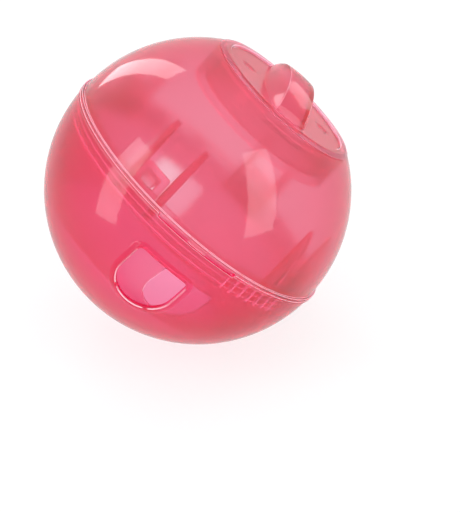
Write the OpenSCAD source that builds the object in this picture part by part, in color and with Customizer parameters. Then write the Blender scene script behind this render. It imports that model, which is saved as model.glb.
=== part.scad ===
// Treat ball: a hollow ball of two half shells with an inner ring as shutter.
// Turning the lower half slides its windows across the windows of the shutter ring.
// The shutter ring hangs in the upper half on four tongues that snap over catches.
// A bayonet lid with a grip bar closes the filling neck at the top.
// The origin is the centre of the ball, and +Z runs along its axis to the lid.
// Angles around the axis count from -Y towards +X.

/* [Ball] */
// Outer diameter of the lower half
ball_d = 102; // [92:1:112]
// Wall of both half shells
shell_wall = 2; // [1.6:0.1:2.4]
// How much smaller the upper half is, on the radius
upper_inset = 0.3; // [0.1:0.1:0.6]

/* [Seam] */
// Height of the seam above the centre of the ball
seam_z = 0.9; // [0:0.1:2]
// Gap between the two rims at the seam
seam_gap = 0.3; // [0.2:0.05:0.5]
// Height of the rim flange on each half
rim_h = 0.9; // [0.6:0.1:1.4]
// How far each rim flange stands proud of the lower half
rim_proud = 0.5; // [0.2:0.1:0.8]
// Depth of the lapping skirt below the centre of the ball
skirt_depth = 5.3; // [4.5:0.1:6.5]
// Wall of the lapping skirt
skirt_wall = 1.5; // [1.2:0.1:2]
// Height of the ring that joins the skirt to the upper wall
root_h = 1.6; // [1.2:0.1:2.4]
// Gap between the skirt and the lower half
lap_gap = 0.6; // [0.5:0.05:0.8]
// Radius of the snap bead on the skirt
snap_r = 1.15; // [1:0.05:1.3]
// Gap around the snap bead in its groove
snap_gap = 0.35; // [0.3:0.05:0.4]
// Height of the snap bead's lowest point above the skirt's edge
snap_lift = 0.3; // [0.1:0.1:0.6]

/* [Windows] */
// Width of a window
window_w = 19.2; // [16:0.2:21]
// Depth of a window's straight top edge below the centre of the ball
window_drop = 11.5; // [10.5:0.1:13]
// Height of a window from its top edge to the bottom of its round end
window_h = 18.9; // [16:0.1:21]
// Corner radius at the top of a window
window_corner = 1.5; // [0.8:0.1:3]
// Width of the raised lip around an outer window
lip_w = 1.7; // [1:0.1:2.5]
// How far the lip stands proud of the ball
lip_proud = 0.8; // [0.4:0.1:1.2]

/* [Shutter ring] */
// Wall of the shutter ring
ring_wall = 1.8; // [1.4:0.1:2.2]
// Gap between the shutter ring and the lower half
ring_gap = 0.5; // [0.4:0.05:0.7]
// Gap between the top of the shutter ring and the lapping skirt
ring_top_gap = 0.4; // [0.3:0.05:0.6]
// Height of the thickened band at the top of the shutter ring
ring_band_h = 1.6; // [1.2:0.1:2.4]
// Height of a window in the shutter ring
ring_window_h = 17.2; // [15:0.1:19]
// Height of the ring below its windows
ring_strip_h = 2.4; // [1.8:0.1:3]

/* [Turning] */
// Angle from windows shut to windows fully open
travel = 27; // [25:1:30]
// Clicks from shut to fully open
click_count = 6; // [4:1:8]
// Width of a click pocket
pocket_w = 2.2; // [1.6:0.1:2.6]
// Depth of a click pocket in the lower wall
pocket_depth = 0.6; // [0.4:0.1:0.8]
// Height of a click pocket
pocket_h = 5.8; // [4.5:0.1:6.5]
// Drop of the click pockets below the centre of the ball
pocket_drop = 0.4; // [0.2:0.1:0.8]
// Width of the click nib
nib_w = 1.4; // [1:0.1:2]
// Height of the click nib's lower end above the snap bead
nib_lift = 0.3; // [0.2:0.1:0.6]
// How far the click nib stands proud of the skirt
nib_proud = 0.3; // [0.2:0.05:0.3]
// Angle of the click nib from the middle of the shutter ring's window
nib_angle = 22.5; // [20:0.5:25]
// Angle of the stop tab from the middle of the shutter ring's window
stop_angle = -10; // [-14:0.5:-6]
// Width of the stop tab
stop_w = 7; // [5:0.5:9]
// Depth of the stop tab below the upper rim
stop_h = 1.2; // [0.8:0.1:1.6]
// Gap around the stop tab at the ends of its travel
stop_gap = 0.4; // [0.3:0.05:0.6]

/* [Latches] */
// Angle of a latch from the middle of the shutter ring's window
latch_angle = 40; // [38:0.5:44]
// Half of the angle between the two fins of a latch
fin_spread = 9; // [8:0.25:10.5]
// Thickness of a fin
fin_t = 2.2; // [1.6:0.1:2.6]
// Depth of a fin from the upper half's inner wall
fin_depth = 5.9; // [5:0.1:7.5]
// Gap between a tongue and its fins
tongue_gap = 0.6; // [0.4:0.1:1]
// Thickness of a tongue
tongue_t = 1.4; // [1.1:0.1:1.6]
// Gap between a tongue and the lapping skirt
tongue_skirt_gap = 0.45; // [0.35:0.05:0.6]
// Height of a tongue's top above the centre of the ball
tongue_top = 8.6; // [7.8:0.1:10]
// Width of the hole in a tongue
eye_w = 5.6; // [4.5:0.1:6.5]
// Height of the hole in a tongue
eye_h = 4.2; // [3.6:0.1:4.6]
// Height of the bar above the hole in a tongue
eye_bar = 2.2; // [1.6:0.1:2.6]
// Gap around the catch in the hole of a tongue
catch_gap = 0.25; // [0.15:0.05:0.35]
// How far a catch reaches past the inside of its tongue
catch_bite = 0.3; // [0.1:0.1:0.6]

/* [Neck] */
// Radius of the flat rim around the neck
rim_r = 28; // [27.8:0.1:29]
// Radius of the ledge that keeps the bayonet lugs in
neck_r = 25.2; // [24.6:0.1:25.6]
// Height of the ledge
ledge_h = 2.2; // [1.8:0.1:2.6]
// Wall of the collar inside the neck
collar_wall = 1.2; // [1:0.1:1.4]
// Depth of the collar
collar_h = 12.5; // [11.5:0.1:14]
// How much deeper a bayonet entry goes than the collar's bore
entry_relief = 0.2; // [0.1:0.05:0.3]
// Angle of a bayonet entry from the middle of the shutter ring's window
entry_angle = -8; // [-16:0.5:0]

/* [Lid] */
// Radius of the lid's flange at its lower edge
lid_r = 27.9; // [27:0.1:28.5]
// Gap between the lid's flange and the neck's rim
lid_gap = 0.3; // [0.2:0.05:0.5]
// Thickness of the lid's plate
plate_t = 1.8; // [1.4:0.1:2.2]
// Height of the lid's flange above its gap
flange_h = 1; // [0.8:0.1:1.4]
// Radius of the sunk face that holds the finger wells
well_r = 23.8; // [23.5:0.1:25]
// Drop of the finger wells below the top of the flange
well_drop = 0.6; // [0.3:0.05:0.75]
// Gap between the plug and the neck's ledge
plug_gap = 0.3; // [0.2:0.05:0.45]
// Wall of the plug
plug_wall = 1.6; // [1.3:0.1:2]
// Depth of the plug below the neck's rim
plug_h = 10.5; // [9:0.1:11.5]
// Width of a bayonet lug
lug_w = 15; // [12:0.5:17]
// Height of a bayonet lug
lug_h = 1.8; // [1.4:0.1:2.2]
// How far a lug stands proud of the plug
lug_proud = 1.1; // [0.9:0.1:1.3]
// Gap around a lug in its entry and under the ledge
lug_gap = 0.35; // [0.25:0.05:0.45]

/* [Grip] */
// Angle of the grip bar from the middle of the shutter ring's window
grip_angle = -9; // [-20:0.5:20]
// Width of the grip bar along its crest
grip_w = 9.8; // [7:0.2:11]
// Length of the grip bar along its crest
grip_l = 42; // [34:0.5:42.5]
// Radius of the crest's curve
grip_bend = 38; // [34:0.5:44]
// Slope of the grip bar's flanks and ends from upright
flank_slope = 25; // [18:1:28]
// How far the middle of the crest stands proud of the ball
grip_proud = 0.5; // [0:0.1:1.5]
// Wall of the hollow grip bar
grip_wall = 1.8; // [1.4:0.1:2.2]
// Length of the slot through the lid at each foot of the grip bar
foot_slot_l = 4.4; // [3.5:0.1:5]
// Width of the slot at each foot of the grip bar
foot_slot_w = 1.2; // [0.8:0.1:1.3]
// Diameter of the round dimple in each finger well
dimple_d = 5; // [4:0.5:6]
// Depth of the round dimple
dimple_depth = 0.4; // [0.2:0.1:0.6]
// Distance of a dimple from the axis
dimple_r = 16; // [15:0.5:17.5]

/* [Hidden] */

// Roundness of curved faces
$fn = 96;
// Small overlap where two shapes of one solid join
join = 0.3;
// Small overshoot of a cut past a face
over = 1;
// Turns that make the second of each pair
sides = [0, 180];

// Radii of the half shells and of the shutter ring
ball_r = ball_d / 2;
lower_in_r = ball_r - shell_wall;
upper_r = ball_r - upper_inset;
upper_in_r = upper_r - shell_wall;
ring_r = lower_in_r - ring_gap;
ring_in_r = ring_r - ring_wall;

// Heights and radii at the seam
lower_z = seam_z - seam_gap / 2;
upper_z = seam_z + seam_gap / 2;
skirt_r = sqrt(lower_in_r * lower_in_r - skirt_depth * skirt_depth) - lap_gap;
skirt_in_r = skirt_r - skirt_wall;
snap_z = snap_r + snap_lift - skirt_depth;
flange_r = ball_r + rim_proud;

// Turning: at rest the lower half stands halfway between shut and open
rest_turn = -travel / 2;
click_step = travel / click_count;
stop_half = asin(stop_w / 2 / ball_r);
nib_half = asin(nib_w / 2 / skirt_r);
notch_half = stop_half + travel / 2 + asin(stop_gap / ball_r);

// Latches: tongues of the shutter ring between fins of the upper half
latch_angles = [for (side = sides) for (s = [-1, 1]) side + s * latch_angle];
fin_in_r = upper_in_r - fin_depth;
tongue_r = skirt_in_r - tongue_skirt_gap;
tongue_in_r = tongue_r - tongue_t;
tongue_w = 2 * (tongue_in_r * sin(fin_spread) - fin_t / 2 - tongue_gap);
ring_top_z = -skirt_depth - ring_top_gap;
ring_low_z = -window_drop - ring_window_h - ring_strip_h;
eye_top = tongue_top - eye_bar;
catch_top = eye_top - catch_gap;
catch_low = eye_top - eye_h + catch_gap;
catch_in_r = tongue_in_r - catch_bite;

// Neck and lid
neck_z = sqrt(upper_r * upper_r - rim_r * rim_r);
lid_z = neck_z + lid_gap;
flange_z = lid_z + flange_h;
well_z = flange_z - well_drop;
cap_r = sqrt(lid_r * lid_r + lid_z * lid_z);
plug_r = neck_r - plug_gap;
plug_in_r = plug_r - plug_wall;
lug_r = plug_r + lug_proud;
lug_top = neck_z - ledge_h - lug_gap;
collar_r = lug_r + lug_gap;
lug_half = asin(lug_w / 2 / lug_r);
entry_half = lug_half + asin(lug_gap / lug_r);

// Grip bar: each flank is a large cylinder that leans outwards by the slope
grip_top = ball_r + grip_proud;
grip_mid = grip_top - grip_bend;
grip_end_z = grip_mid + sqrt(grip_bend * grip_bend - grip_l * grip_l / 4);
grip_foot = grip_l / 2 + (grip_end_z - well_z) * tan(flank_slope);
flank_r = grip_bend / sin(flank_slope);

// Turn a shape that stands at -Y to an angle around the axis
module at_angle(a) {
    rotate([0, 0, a]) children();
}

// Sector of a ring from inner to outer radius, centred on -Y
module ring_sector(r_in, r_out, half_angle, z_low, z_high) {
    translate([0, 0, z_low])
        rotate([0, 0, -90 - half_angle])
            rotate_extrude(angle = 2 * half_angle)
                translate([r_in, 0])
                    square([r_out - r_in, z_high - z_low]);
}

// Upright outline at -Y, in radius and height, given a thickness
module upright(t) {
    rotate([90, 0, -90])
        linear_extrude(height = t, center = true)
            children();
}

// Window outline with a straight top and a round lower end, grown all around
module window_outline(height, grow) {
    half_w = window_w / 2 + grow;
    corner = window_corner + grow;
    top = grow - window_drop;
    mid = window_w / 2 - window_drop - height;
    translate([0, mid])
        circle(r = half_w);
    translate([-half_w, mid])
        square([2 * half_w, top - corner - mid]);
    translate([corner - half_w, mid])
        square([2 * (half_w - corner), top - mid]);
    for (s = [-1, 1])
        translate([s * (half_w - corner), top - corner])
            circle(r = corner);
}

// Window outline carried outwards along -Y from near the axis
module window_prism(height, grow) {
    translate([0, -window_w, 0])
        rotate([90, 0, 0])
            linear_extrude(height = ball_d)
                window_outline(height, grow);
}

// Half-plane profile of the upper half: wall, collar, rim flange, skirt and snap bead
module upper_profile() {
    difference() {
        union() {
            intersection() {
                difference() {
                    circle(r = upper_r);
                    circle(r = upper_in_r);
                }
                translate([0, upper_z])
                    square([ball_d, neck_z - upper_z]);
            }
            translate([collar_r, neck_z - collar_h])
                square([collar_wall, collar_h - ledge_h / 2]);
            translate([neck_r, neck_z - ledge_h])
                square([collar_r + collar_wall - neck_r, ledge_h]);
            translate([neck_r, neck_z - ledge_h / 2])
                square([rim_r - shell_wall / 2 - neck_r, ledge_h / 2]);
            translate([upper_in_r, upper_z])
                square([flange_r - upper_in_r, rim_h]);
            translate([skirt_in_r, upper_z])
                square([upper_in_r + join - skirt_in_r, root_h]);
            translate([skirt_in_r, -skirt_depth])
                square([skirt_wall, upper_z + skirt_depth + join]);
            translate([skirt_r, snap_z])
                circle(r = snap_r);
        }
        translate([0, neck_z - collar_h - over])
            square([collar_r, collar_h + over - ledge_h]);
        translate([0, neck_z - ledge_h - over])
            square([neck_r, ledge_h + 2 * over]);
    }
}

// Fin of a latch: upright inner edge, outer edge buried in the wall and the skirt
module fin() {
    upright(fin_t) {
        intersection() {
            circle(r = upper_in_r + join);
            translate([fin_in_r, upper_z - join])
                square([fin_depth + join, upper_r]);
        }
        translate([fin_in_r, -skirt_depth])
            square([skirt_in_r + join - fin_in_r, upper_z + skirt_depth]);
    }
}

// Catch that holds a tongue: flat on top, sloped below
module catch() {
    upright(eye_w - 2 * catch_gap)
        polygon([
            [upper_in_r + join, catch_low],
            [catch_in_r, (catch_low + catch_top) / 2],
            [catch_in_r, catch_top],
            [upper_in_r + join, catch_top]
        ]);
}

// Gap in the ledge that lets a bayonet lug in
module bayonet_entry() {
    ring_sector(neck_r - over, collar_r + entry_relief, entry_half, neck_z - ledge_h - over, neck_z + over);
}

// Upper half shell with neck, lapping skirt, latch fins, catches, stop tabs and click nibs
module upper_shell() {
    color([0.92, 0.46, 0.54, 0.6])
    difference() {
        union() {
            rotate_extrude()
                upper_profile();
            for (a = latch_angles)
                at_angle(a) {
                    catch();
                    for (s = [-1, 1])
                        at_angle(s * fin_spread)
                            fin();
                }
            for (side = sides) {
                at_angle(side + stop_angle)
                    ring_sector(lower_in_r + join, ball_r, stop_half, upper_z - stop_h, upper_z + join);
                at_angle(side + nib_angle)
                    ring_sector(skirt_r - join, skirt_r + nib_proud, nib_half,
                        snap_z + snap_r + nib_lift, -pocket_drop);
            }
        }
        for (side = sides)
            at_angle(side + entry_angle)
                bayonet_entry();
    }
}

// Half-plane profile of the lower half: wall and rim flange, with the snap groove
module lower_profile() {
    difference() {
        union() {
            intersection() {
                difference() {
                    circle(r = ball_r);
                    circle(r = lower_in_r);
                }
                translate([0, -ball_d])
                    square([ball_d, ball_d + lower_z]);
            }
            translate([lower_in_r + join, lower_z - rim_h])
                square([flange_r - lower_in_r - join, rim_h]);
        }
        translate([skirt_r, snap_z])
            circle(r = snap_r + snap_gap);
    }
}

// Row of click pockets in the inner wall, centred on -Y
module click_row() {
    for (k = [0:click_count])
        at_angle((k - click_count / 2) * click_step)
            translate([-pocket_w / 2, -lower_in_r - pocket_depth, -pocket_drop - pocket_h])
                cube([pocket_w, shell_wall + pocket_depth, pocket_h]);
}

// Lower half shell with two lipped windows, stop notches and click pockets
module lower_shell() {
    color([0.90, 0.34, 0.44, 0.6])
    at_angle(rest_turn)
    difference() {
        union() {
            rotate_extrude()
                lower_profile();
            for (side = sides)
                at_angle(side)
                    intersection() {
                        difference() {
                            sphere(r = ball_r + lip_proud);
                            sphere(r = lower_in_r + join);
                        }
                        window_prism(window_h, lip_w);
                    }
        }
        for (side = sides)
            at_angle(side) {
                window_prism(window_h, 0);
                at_angle(nib_angle - rest_turn)
                    click_row();
                at_angle(stop_angle - rest_turn)
                    ring_sector(skirt_r, flange_r + over, notch_half,
                        upper_z - stop_h - stop_gap, lower_z + over);
            }
    }
}

// Half-plane profile of the shutter ring: wall and thickened band at the top
module ring_profile() {
    intersection() {
        union() {
            difference() {
                circle(r = ring_r);
                circle(r = ring_in_r);
            }
            translate([tongue_in_r, ring_top_z - ring_band_h])
                square([ring_in_r + join - tongue_in_r, ring_band_h]);
        }
        translate([0, ring_low_z])
            square([ball_d, ring_top_z - ring_low_z]);
    }
}

// Tongue of the shutter ring with the hole that takes a catch
module tongue() {
    low = ring_top_z - ring_band_h / 2;
    difference() {
        translate([-tongue_w / 2, -tongue_r, low])
            cube([tongue_w, tongue_t, tongue_top - low]);
        translate([-eye_w / 2, -tongue_r - over, eye_top - eye_h])
            cube([eye_w, tongue_t + 2 * over, eye_h]);
    }
}

// Shutter ring with its windows and four latch tongues
module shutter_ring() {
    color([0.88, 0.30, 0.42, 0.6])
    union() {
        difference() {
            rotate_extrude()
                ring_profile();
            for (side = sides)
                at_angle(side)
                    window_prism(ring_window_h, 0);
        }
        for (a = latch_angles)
            at_angle(a)
                tongue();
    }
}

// Half-plane profile of the lid: plate, flange with its edge curved like the ball, plug
module lid_profile() {
    translate([0, well_z - plate_t])
        square([plug_r, plate_t]);
    intersection() {
        circle(r = cap_r);
        union() {
            translate([well_r, lid_z])
                square([lid_r - well_r, flange_h]);
            translate([plug_in_r, lid_z])
                square([lid_r - plug_in_r, flange_h - well_drop]);
        }
    }
    translate([plug_in_r, neck_z - plug_h])
        square([plug_wall, well_z - neck_z + plug_h]);
}

// Space on the inner side of one leaning flank of the grip bar
module flank(s, inset) {
    translate([s * (grip_w / 2 - inset), 0, grip_top])
        rotate([0, -s * flank_slope, 0])
            translate([-s * flank_r, 0, -ball_d])
                cylinder(r = flank_r, h = 2 * ball_d);
}

// Grip bar inset by a wall: crest on a sphere, leaning flanks, leaning ends, down to a height
module grip_form(inset, low) {
    foot = grip_foot - inset + (well_z - low) * tan(flank_slope);
    intersection() {
        translate([0, 0, grip_mid])
            sphere(r = grip_bend - inset);
        flank(1, inset);
        flank(-1, inset);
        rotate([90, 0, 90])
            linear_extrude(height = ball_d, center = true)
                polygon([
                    [-foot, low],
                    [foot, low],
                    [foot - (grip_top - low) * tan(flank_slope), grip_top],
                    [(grip_top - low) * tan(flank_slope) - foot, grip_top]
                ]);
    }
}

// Lid with plug, bayonet lugs, hollow grip bar, foot slots and dimples
module lid() {
    color([0.93, 0.44, 0.52, 0.6])
    union() {
        at_angle(grip_angle)
            difference() {
                union() {
                    rotate_extrude()
                        lid_profile();
                    grip_form(0, well_z - join);
                }
                intersection() {
                    grip_form(grip_wall, well_z - plate_t - over);
                    translate([0, 0, well_z - plate_t - over])
                        cylinder(r = plug_in_r, h = ball_r);
                }
                for (s = [-1, 1]) {
                    translate([s * dimple_r, 0, well_z - dimple_depth])
                        cylinder(d = dimple_d, h = ball_r);
                    translate([0, s * (grip_foot + foot_slot_w / 2), well_z])
                        cube([foot_slot_l, foot_slot_w, 2 * plate_t + over], center = true);
                }
            }
        for (side = sides)
            at_angle(side + entry_angle)
                ring_sector(plug_r - join, lug_r, lug_half, lug_top - lug_h, lug_top);
    }
}

upper_shell();
lower_shell();
shutter_ring();
lid();
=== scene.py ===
"""Looks of the treat ball.

Two half shells, a shutter ring and a lid of clear pink plastic are worked out as smooth surfaces
on the sizes of the CAD model, and shown on a white floor under soft studio light.
Lengths are in millimetres until a mesh is made. Angles are in degrees and count from -Y to +X.
"""

from __future__ import annotations

import logging
import math
from dataclasses import dataclass
from enum import Enum
from typing import Sequence, Union

import bpy
import bmesh
import numpy as np
from mathutils import Matrix, Vector

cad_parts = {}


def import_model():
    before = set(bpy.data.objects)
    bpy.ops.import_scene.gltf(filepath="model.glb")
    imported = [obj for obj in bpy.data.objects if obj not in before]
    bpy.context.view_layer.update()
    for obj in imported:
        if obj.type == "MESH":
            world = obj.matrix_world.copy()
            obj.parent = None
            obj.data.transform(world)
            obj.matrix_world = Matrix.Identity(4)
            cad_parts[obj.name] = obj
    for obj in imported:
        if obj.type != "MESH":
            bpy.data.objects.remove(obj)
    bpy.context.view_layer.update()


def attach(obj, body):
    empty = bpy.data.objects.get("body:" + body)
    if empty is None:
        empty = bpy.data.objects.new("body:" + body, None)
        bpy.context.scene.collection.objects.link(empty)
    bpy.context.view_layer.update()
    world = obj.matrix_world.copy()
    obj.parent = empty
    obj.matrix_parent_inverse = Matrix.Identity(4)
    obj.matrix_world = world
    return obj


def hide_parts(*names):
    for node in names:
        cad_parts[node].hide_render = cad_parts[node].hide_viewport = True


LOG = logging.getLogger("treat_ball")
Array = np.ndarray
Number = Union[float, Array]
Colour = tuple[float, float, float]
MM = 0.001

# Angles of the two windows and of the four latches
SIDES = (0.0, 180.0)
LATCHES = (-40.0, 40.0, 140.0, 220.0)

# Half the width of the ramp at the side of a cut, the ramp's steps, and the gap that keeps solids apart
SOFT = 0.2
ACROSS = np.array([-1.0, -0.6, -0.2, 0.2, 0.6, 1.0])
CLEAR = 0.02

# Points of a cut's soft edge: the way out from the cut and the way into the wall
SOFT_CUT = np.array([(0.0, 0.3), (0.09, 0.09), (0.3, 0.0)])

# Welding distances in metres, and the angle from which an edge is shaded sharp
WELD = 2e-6
NO_LENGTH = 1e-7
SHARP = math.radians(38)

# Face attribute for edges, with its limits of curve per mm, width in mm and share of the longest side
EDGE = "edge"
TIGHT = (1.2, 2.4)
NARROW = (0.22, 0.36)
LONG_SIDE = 0.6

# Where plastic is deeper or paler, in mm from the middle, from the axis and along the axis
CUT_FROM, CUT_TO = 49.55, 50.85
LIP_FROM, LIP_TOP, LIP_SHARE = 51.1, -3.0, 0.35
TONGUE_FROM = -5.6
FIN_BALL, FIN_AXIS, FIN_TOP = 48.3, 43.5, 24.0
COLLAR_AXIS, COLLAR_TOP = 27.9, 39.9


class Body(Enum):
    """Bodies of the CAD model that pieces ride on."""

    UPPER = "upper"
    LOWER = "lower"
    LID = "lid"


class Plastic(Enum):
    """Material slots of the record."""

    UPPER = "upper_plastic"
    LOWER = "lower_plastic"
    RING = "ring_plastic"
    LID = "lid_plastic"


class Deep(Enum):
    """Where a piece shows a deeper colour, because plates or cuts are seen edge on there."""

    NOWHERE = "nowhere"
    FINS = "fins"
    CUTS = "cuts"
    TONGUES = "tongues"


# Surfaces


def polar(radius: Number, angle: Number, height: Number) -> Array:
    """Points around the axis, from arguments of matching shapes: x = r sin a, y = -r cos a, z = h."""
    r, a, h = np.broadcast_arrays(radius, np.radians(angle), height)
    return np.stack([r * np.sin(a), -r * np.cos(a), h], axis=-1)


def turned(points: Array, angle: float) -> Array:
    """Points turned around the axis by an angle, from -Y towards +X."""
    c, s = math.cos(math.radians(angle)), math.sin(math.radians(angle))
    return points @ np.array([[c, s, 0.0], [-s, c, 0.0], [0.0, 0.0, 1.0]])


def ball_width(radius: float, z: Number) -> Array:
    """Distance from the axis to a ball's surface at a height: the root of R squared less z squared."""
    return np.sqrt(np.maximum(radius**2 - np.square(z), 0.0))


def ball_arc(radius: float, low: float, high: float, steps: int) -> Array:
    """Points (radius, height) of a ball's profile between two heights, at even steps of latitude."""
    latitude = np.linspace(math.asin(low / radius), math.asin(high / radius), steps)
    return np.stack([radius * np.cos(latitude), radius * np.sin(latitude)], axis=-1)


def softened(corners: Array, rounds: Sequence[float], steps: int = 4, closed: bool = False) -> Array:
    """Line through corners, each rounded by a parabola that leaves the sides a given way before the corner.

    Args:
        corners: array of (radius, height) corners.
        rounds: how far before and after each corner its curve starts; 0 keeps the corner sharp.
        steps: spans of each curve.
        closed: whether the last corner joins the first.

    Returns:
        Array of points along the line.
    """
    before = np.roll(corners, 1, axis=0) - corners
    after = np.roll(corners, -1, axis=0) - corners
    reach = np.minimum(np.linalg.norm(before, axis=1), np.linalg.norm(after, axis=1)) * 0.48
    cut = np.minimum(np.asarray(rounds, float), reach)
    if not closed:
        cut[[0, -1]] = 0.0
    s = np.linspace(0.0, 1.0, steps + 1)[:, None]

    def curve(i: int) -> Array:
        """Curve at one corner, or the corner itself."""
        if cut[i] <= 0.0:
            return corners[i : i + 1]
        start = corners[i] + before[i] / np.linalg.norm(before[i]) * cut[i]
        end = corners[i] + after[i] / np.linalg.norm(after[i]) * cut[i]
        return (1 - s) ** 2 * start + 2 * s * (1 - s) * corners[i] + s**2 * end

    return np.concatenate([curve(i) for i in range(len(corners))])


def columns(step: float, edges: Sequence[float]) -> Array:
    """Angles of a full turn at even steps, with close ones across each edge.

    Args:
        step: even step.
        edges: angles at which the profile changes.

    Returns:
        Sorted angles from -180 up to, and without, 180.
    """
    even = np.arange(-180.0, 180.0, step)
    wrapped = (np.asarray(edges, float) + 180.0) % 360.0 - 180.0
    if len(wrapped):
        even = even[off_angle(even, wrapped) > 3 * SOFT]
    return np.sort(np.concatenate([even, *(wrapped + s * SOFT for s in ACROSS)]))


def off_angle(angles: Array, middles: Sequence[float]) -> Array:
    """How far each angle is from the nearest of the middles."""
    return np.abs((angles[:, None] - np.asarray(middles, float)[None] + 180.0) % 360.0 - 180.0).min(axis=1)


def in_sectors(angles: Array, middles: Sequence[float], half: float) -> Array:
    """Which angles lie inside any of the sectors, given by their middles and half their width."""
    return off_angle(angles, middles) <= half


def soft_sectors(angles: Array, middles: Sequence[float], half: float) -> Array:
    """1 inside any of the sectors and 0 outside, with a smooth ramp at the sides of the sectors."""
    return 1 - smooth_step(off_angle(angles, middles), half - SOFT, half + SOFT)


def around(across: Array, up: Array) -> tuple[Array, Array]:
    """Places around a net of lines, along its first row, up its last column and back.

    Args:
        across: places of the columns.
        up: places of the rows.

    Returns:
        Place across and place up at each crossing on the way.
    """
    wide, tall = len(across) - 1, len(up) - 1
    first = [across[:-1], np.full(tall, across[-1]), across[:0:-1], np.full(tall, across[0])]
    second = [np.full(wide, up[0]), up[:-1], np.full(wide, up[-1]), up[:0:-1]]
    return np.concatenate(first), np.concatenate(second)


def soft_low(a: Array, b: Array, k: float) -> Array:
    """Lower of two heights, blended over k: the minimum less h squared times k over 4."""
    h = np.maximum(k - np.abs(a - b), 0.0) / k
    return np.minimum(a, b) - h * h * k / 4


def soft_high(a: Array, b: Array, k: float) -> Array:
    """Higher of two heights, blended over k."""
    return -soft_low(-a, -b, k)


def smooth_step(x: Array, low: float, high: float) -> Array:
    """Ramp from 0 at low to 1 at high with level ends: 3 t squared less 2 t cubed."""
    t = np.clip((x - low) / (high - low), 0.0, 1.0)
    return t * t * (3 - 2 * t)


def read(items: bpy.types.bpy_prop_collection, key: str, width: int = 1, kind: type = np.int32) -> Array:
    """One property of all items of a mesh.

    Args:
        items: vertices, edges, loops or polygons of the mesh.
        key: name of the property.
        width: numbers per item.
        kind: type of the numbers.

    Returns:
        Array with a row, or a number, per item.
    """
    values = np.empty(len(items) * width, dtype=kind)
    items.foreach_get(key, values)
    return values.reshape(-1, width) if width > 1 else values


def edge_share(mesh: bpy.types.Mesh) -> Array:
    """1 on narrow faces whose long sides lie on a tight curve, as at a rounded edge, and 0 elsewhere.

    The curve at a side is the turn between its two faces over twice the shorter way to their middles. A face
    takes the least of its long sides. A face's width is its area over its longest side.

    Args:
        mesh: finished mesh.

    Returns:
        A number per face.
    """
    normal = read(mesh.polygons, "normal", 3, np.float32)
    middle = read(mesh.polygons, "center", 3, np.float32)
    ends = read(mesh.edges, "vertices", 2)
    place = read(mesh.vertices, "co", 3, np.float32)
    loop_edge = read(mesh.loops, "edge_index")
    loop_face = np.repeat(np.arange(len(mesh.polygons)), read(mesh.polygons, "loop_total"))
    order = np.argsort(loop_edge, kind="stable")
    edge, face = loop_edge[order], loop_face[order]
    pair = np.flatnonzero(edge[1:] == edge[:-1])
    edge, first, second = edge[pair], face[pair], face[pair + 1]
    halfway = place[ends[edge]].mean(axis=1)
    way = np.minimum(*(np.linalg.norm(middle[f] - halfway, axis=1) for f in (first, second)))
    tight = np.zeros(len(ends))
    tight[edge] = np.linalg.norm(normal[first] - normal[second], axis=1) / np.maximum(2 * way, 1e-6)
    length = np.linalg.norm(place[ends[:, 0]] - place[ends[:, 1]], axis=1)[loop_edge]
    longest = np.zeros(len(normal))
    np.maximum.at(longest, loop_face, length)
    least = np.full(len(normal), np.inf)
    long_side = length > LONG_SIDE * longest[loop_face]
    np.minimum.at(least, loop_face, np.where(long_side, tight[loop_edge], np.inf))
    width = read(mesh.polygons, "area", 1, np.float32) / longest
    return smooth_step(least * MM, *TIGHT) * (1 - smooth_step(width / MM, *NARROW))


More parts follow.
